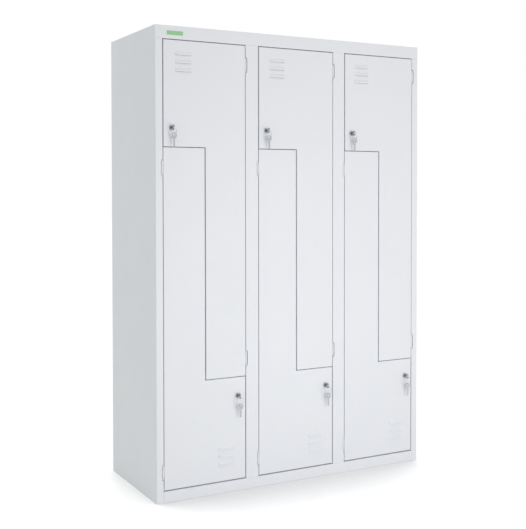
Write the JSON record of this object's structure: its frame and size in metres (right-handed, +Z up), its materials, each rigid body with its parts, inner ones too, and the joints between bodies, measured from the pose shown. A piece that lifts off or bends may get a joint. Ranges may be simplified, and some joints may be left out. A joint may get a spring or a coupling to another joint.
{
  "type": "z locker",
  "caption": "Sheet-steel locker with interlocking L-shaped doors, cam locks with keys, louvres, shelves and coat rails.",
  "frame": {"origin": "on the floor, in the middle of the whole object's width and depth, keys in the locks included", "axes": "+X to the right of someone facing the doors, +Y to the back, +Z up"},
  "size_m": [1.22, 0.519, 1.8],
  "materials": {
    "body_paint": "satin powder coat",
    "door_paint": "satin powder coat",
    "chromed_tube": "bright chrome plate",
    "zinc_fitting": "zinc plate",
    "buffer_rubber": "matte",
    "pin_steel": "bright drawn",
    "lock_nickel": "nickel plate on zinc alloy",
    "key_nickel": "nickel-plated steel"
  },
  "bodies": {
    "cabinet": {"left_side_panel": "body_paint", "right_side_panel": "body_paint", "top_panel": "body_paint", "bottom_panel": "body_paint", "back_panel": "body_paint", "column_partition_1": "body_paint", "column_partition_2": "body_paint", "mullion_1": "body_paint", "mullion_2": "body_paint", "z_divider_1": "body_paint", "z_divider_2": "body_paint", "z_divider_3": "body_paint", "upper_coat_rails": "chromed_tube", "lower_coat_rails": "chromed_tube", "rail_sockets": "zinc_fitting", "door_buffers": "buffer_rubber", "hinge_brackets": "body_paint", "hinge_pins": "pin_steel"},
    "upper_door_1": {"upper_door_1_panel": "door_paint", "upper_door_1_stiffener": "door_paint", "upper_door_1_hinge_leaves": "body_paint", "upper_door_1_lock_body": "lock_nickel"},
    "upper_lock_1": {"upper_door_1_lock_plug": "lock_nickel"},
    "upper_key_1": {"upper_door_1_key": "key_nickel"},
    "upper_spare_key_1": {"upper_door_1_spare_key": "key_nickel"},
    "lower_door_1": {"lower_door_1_panel": "door_paint", "lower_door_1_stiffener": "door_paint", "lower_door_1_hinge_leaves": "body_paint", "lower_door_1_lock_body": "lock_nickel"},
    "lower_lock_1": {"lower_door_1_lock_plug": "lock_nickel"},
    "lower_key_1": {"lower_door_1_key": "key_nickel"},
    "lower_spare_key_1": {"lower_door_1_spare_key": "key_nickel"},
    "upper_door_2": {"upper_door_2_panel": "door_paint", "upper_door_2_stiffener": "door_paint", "upper_door_2_hinge_leaves": "body_paint", "upper_door_2_lock_body": "lock_nickel"},
    "upper_lock_2": {"upper_door_2_lock_plug": "lock_nickel"},
    "upper_key_2": {"upper_door_2_key": "key_nickel"},
    "upper_spare_key_2": {"upper_door_2_spare_key": "key_nickel"},
    "lower_door_2": {"lower_door_2_panel": "door_paint", "lower_door_2_stiffener": "door_paint", "lower_door_2_hinge_leaves": "body_paint", "lower_door_2_lock_body": "lock_nickel"},
    "lower_lock_2": {"lower_door_2_lock_plug": "lock_nickel"},
    "lower_key_2": {"lower_door_2_key": "key_nickel"},
    "lower_spare_key_2": {"lower_door_2_spare_key": "key_nickel"},
    "upper_door_3": {"upper_door_3_panel": "door_paint", "upper_door_3_stiffener": "door_paint", "upper_door_3_hinge_leaves": "body_paint", "upper_door_3_lock_body": "lock_nickel"},
    "upper_lock_3": {"upper_door_3_lock_plug": "lock_nickel"},
    "upper_key_3": {"upper_door_3_key": "key_nickel"},
    "upper_spare_key_3": {"upper_door_3_spare_key": "key_nickel"},
    "lower_door_3": {"lower_door_3_panel": "door_paint", "lower_door_3_stiffener": "door_paint", "lower_door_3_hinge_leaves": "body_paint", "lower_door_3_lock_body": "lock_nickel"},
    "lower_lock_3": {"lower_door_3_lock_plug": "lock_nickel"},
    "lower_key_3": {"lower_door_3_key": "key_nickel"},
    "lower_spare_key_3": {"lower_door_3_spare_key": "key_nickel"}
  },
  "joints": [
    {"name": "upper_door_1_swing", "type": "hinge", "parent": "cabinet", "child": "upper_door_1", "pos_m": [-0.2291, -0.22734, 1.096], "axis": [0, 0, 1], "range_deg": [0, 95]},
    {"name": "upper_lock_1_turn", "type": "hinge", "parent": "upper_door_1", "child": "upper_lock_1", "pos_m": [-0.5445, -0.23054, 1.418], "axis": [0, -1, 0], "range_deg": [0, 90]},
    {"name": "upper_key_1_pull", "type": "slide", "parent": "upper_lock_1", "child": "upper_key_1", "axis": [0, -1, 0], "range_m": [0, 0.03]},
    {"name": "upper_spare_key_1_hang", "type": "hinge", "parent": "upper_key_1", "child": "upper_spare_key_1", "pos_m": [-0.5445, -0.25194, 1.4046], "axis": [0, -1, 0], "range_deg": [-90, 0]},
    {"name": "lower_door_1_swing", "type": "hinge", "parent": "cabinet", "child": "lower_door_1", "pos_m": [-0.5829, -0.22734, 0.692], "axis": [0, 0, -1], "range_deg": [0, 95]},
    {"name": "lower_lock_1_turn", "type": "hinge", "parent": "lower_door_1", "child": "lower_lock_1", "pos_m": [-0.2675, -0.23054, 0.377], "axis": [0, -1, 0], "range_deg": [0, 90]},
    {"name": "lower_key_1_pull", "type": "slide", "parent": "lower_lock_1", "child": "lower_key_1", "axis": [0, -1, 0], "range_m": [0, 0.03]},
    {"name": "lower_spare_key_1_hang", "type": "hinge", "parent": "lower_key_1", "child": "lower_spare_key_1", "pos_m": [-0.2675, -0.25194, 0.3586], "axis": [0, -1, 0], "range_deg": [-90, 0]},
    {"name": "upper_door_2_swing", "type": "hinge", "parent": "cabinet", "child": "upper_door_2", "pos_m": [0.1769, -0.22734, 1.096], "axis": [0, 0, 1], "range_deg": [0, 95]},
    {"name": "upper_lock_2_turn", "type": "hinge", "parent": "upper_door_2", "child": "upper_lock_2", "pos_m": [-0.1385, -0.23054, 1.418], "axis": [0, -1, 0], "range_deg": [0, 90]},
    {"name": "upper_key_2_pull", "type": "slide", "parent": "upper_lock_2", "child": "upper_key_2", "axis": [0, -1, 0], "range_m": [0, 0.03]},
    {"name": "upper_spare_key_2_hang", "type": "hinge", "parent": "upper_key_2", "child": "upper_spare_key_2", "pos_m": [-0.1385, -0.25194, 1.4046], "axis": [0, -1, 0], "range_deg": [-90, 0]},
    {"name": "lower_door_2_swing", "type": "hinge", "parent": "cabinet", "child": "lower_door_2", "pos_m": [-0.1769, -0.22734, 0.692], "axis": [0, 0, -1], "range_deg": [0, 95]},
    {"name": "lower_lock_2_turn", "type": "hinge", "parent": "lower_door_2", "child": "lower_lock_2", "pos_m": [0.1385, -0.23054, 0.377], "axis": [0, -1, 0], "range_deg": [0, 90]},
    {"name": "lower_key_2_pull", "type": "slide", "parent": "lower_lock_2", "child": "lower_key_2", "axis": [0, -1, 0], "range_m": [0, 0.03]},
    {"name": "lower_spare_key_2_hang", "type": "hinge", "parent": "lower_key_2", "child": "lower_spare_key_2", "pos_m": [0.1385, -0.25194, 0.3586], "axis": [0, -1, 0], "range_deg": [-90, 0]},
    {"name": "upper_door_3_swing", "type": "hinge", "parent": "cabinet", "child": "upper_door_3", "pos_m": [0.5829, -0.22734, 1.096], "axis": [0, 0, 1], "range_deg": [0, 95]},
    {"name": "upper_lock_3_turn", "type": "hinge", "parent": "upper_door_3", "child": "upper_lock_3", "pos_m": [0.2675, -0.23054, 1.418], "axis": [0, -1, 0], "range_deg": [0, 90]},
    {"name": "upper_key_3_pull", "type": "slide", "parent": "upper_lock_3", "child": "upper_key_3", "axis": [0, -1, 0], "range_m": [0, 0.03]},
    {"name": "upper_spare_key_3_hang", "type": "hinge", "parent": "upper_key_3", "child": "upper_spare_key_3", "pos_m": [0.2675, -0.25194, 1.4046], "axis": [0, -1, 0], "range_deg": [-90, 0]},
    {"name": "lower_door_3_swing", "type": "hinge", "parent": "cabinet", "child": "lower_door_3", "pos_m": [0.2291, -0.22734, 0.692], "axis": [0, 0, -1], "range_deg": [0, 95]},
    {"name": "lower_lock_3_turn", "type": "hinge", "parent": "lower_door_3", "child": "lower_lock_3", "pos_m": [0.5445, -0.23054, 0.377], "axis": [0, -1, 0], "range_deg": [0, 90]},
    {"name": "lower_key_3_pull", "type": "slide", "parent": "lower_lock_3", "child": "lower_key_3", "axis": [0, -1, 0], "range_m": [0, 0.03]},
    {"name": "lower_spare_key_3_hang", "type": "hinge", "parent": "lower_key_3", "child": "lower_spare_key_3", "pos_m": [0.5445, -0.25194, 0.3586], "axis": [0, -1, 0], "range_deg": [-90, 0]}
  ],
  "couplings": [
    {"joint": "upper_spare_key_1_hang", "follows": "upper_lock_1_turn", "ratio": -1},
    {"joint": "lower_spare_key_1_hang", "follows": "lower_lock_1_turn", "ratio": -1},
    {"joint": "upper_spare_key_2_hang", "follows": "upper_lock_2_turn", "ratio": -1},
    {"joint": "lower_spare_key_2_hang", "follows": "lower_lock_2_turn", "ratio": -1},
    {"joint": "upper_spare_key_3_hang", "follows": "upper_lock_3_turn", "ratio": -1},
    {"joint": "lower_spare_key_3_hang", "follows": "lower_lock_3_turn", "ratio": -1}
  ]
}
